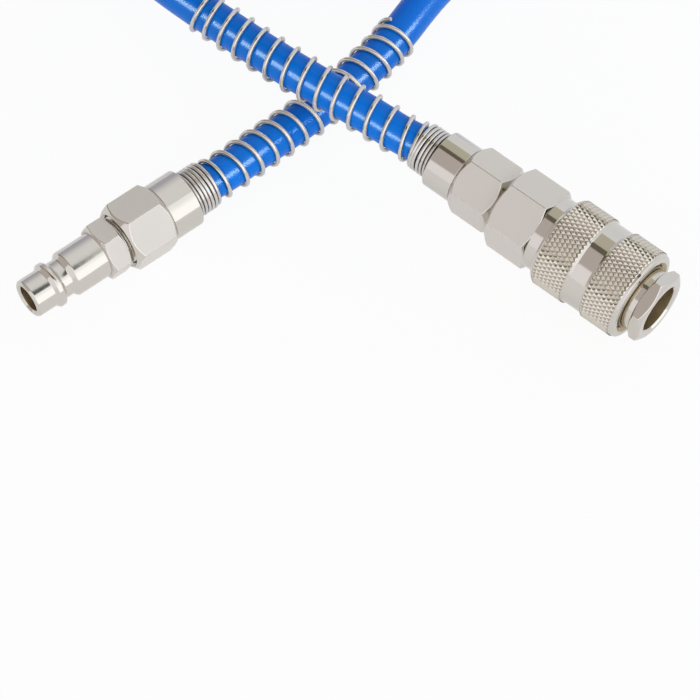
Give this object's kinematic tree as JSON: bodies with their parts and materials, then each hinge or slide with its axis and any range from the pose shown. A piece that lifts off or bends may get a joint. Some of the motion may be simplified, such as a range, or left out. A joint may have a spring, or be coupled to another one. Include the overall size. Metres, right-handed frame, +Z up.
{
  "type": "coiled air hose",
  "caption": "Coiled polyurethane air hose with a quick-coupler plug on one end and a one-hand quick coupler on the other, each held by a union nut with a bend-guard spring.",
  "frame": {"origin": "on the table, under the middle of the two fittings with their guard springs", "axes": "+Z up from the table, +X from the plug's side to the coupler's side, +Y from the fittings towards the spiral of hose"},
  "size_m": [0.1656, 0.2644, 0.11],
  "materials": {
    "nickel_plated_brass": "satin nickel plating",
    "spring_steel": "bright drawn wire",
    "ball_steel": "polished",
    "bare_brass": "turned",
    "nitrile": "matt black",
    "polyurethane": "glossy blue"
  },
  "bodies": {
    "hose_and_fittings": {"plug_body": "nickel_plated_brass", "plug_union_nut": "nickel_plated_brass", "plug_guard_spring": "spring_steel", "coupler_mouth_tube": "nickel_plated_brass", "sleeve_stop_ring": "spring_steel", "sleeve_spring": "spring_steel", "plug_seal": "nitrile", "valve_spring": "spring_steel", "coupler_body": "nickel_plated_brass", "coupler_union_nut": "nickel_plated_brass", "coupler_guard_spring": "spring_steel", "hose_plug_end": "polyurethane", "hose_coupler_end": "polyurethane", "hose_coil": "polyurethane"},
    "sleeve": {"locking_sleeve": "nickel_plated_brass"},
    "ball_1": {"lock_ball_1": "ball_steel"},
    "ball_2": {"lock_ball_2": "ball_steel"},
    "ball_3": {"lock_ball_3": "ball_steel"},
    "ball_4": {"lock_ball_4": "ball_steel"},
    "valve": {"valve_poppet": "bare_brass", "valve_seal": "nitrile"}
  },
  "joints": [
    {"name": "sleeve_slide", "type": "slide", "parent": "hose_and_fittings", "child": "sleeve", "axis": [-0.7748, 0.6274, 0.0785], "range_m": [0, 0.0025], "stiffness_N_per_m": 4000, "springref_m": -0.002, "deforming": ["sleeve_spring"]},
    {"name": "ball_1_slide", "type": "slide", "parent": "hose_and_fittings", "child": "ball_1", "axis": [-0.4019, -0.5844, 0.7049], "range_m": [0, 0.0011]},
    {"name": "ball_2_slide", "type": "slide", "parent": "hose_and_fittings", "child": "ball_2", "axis": [0.4881, 0.5146, 0.7049], "range_m": [0, 0.0011]},
    {"name": "ball_3_slide", "type": "slide", "parent": "hose_and_fittings", "child": "ball_3", "axis": [0.4019, 0.5844, -0.7049], "range_m": [0, 0.0011]},
    {"name": "ball_4_slide", "type": "slide", "parent": "hose_and_fittings", "child": "ball_4", "axis": [-0.4881, -0.5146, -0.7049], "range_m": [0, 0.0011]},
    {"name": "valve_slide", "type": "slide", "parent": "hose_and_fittings", "child": "valve", "axis": [-0.7748, 0.6274, 0.0785], "range_m": [0, 0.0037], "stiffness_N_per_m": 1500, "springref_m": -0.002, "deforming": ["valve_spring"]}
  ],
  "couplings": [
    {"joint": "ball_1_slide", "follows": "sleeve_slide", "ratio": 0.44},
    {"joint": "ball_2_slide", "follows": "sleeve_slide", "ratio": 0.44},
    {"joint": "ball_3_slide", "follows": "sleeve_slide", "ratio": 0.44},
    {"joint": "ball_4_slide", "follows": "sleeve_slide", "ratio": 0.44}
  ]
}
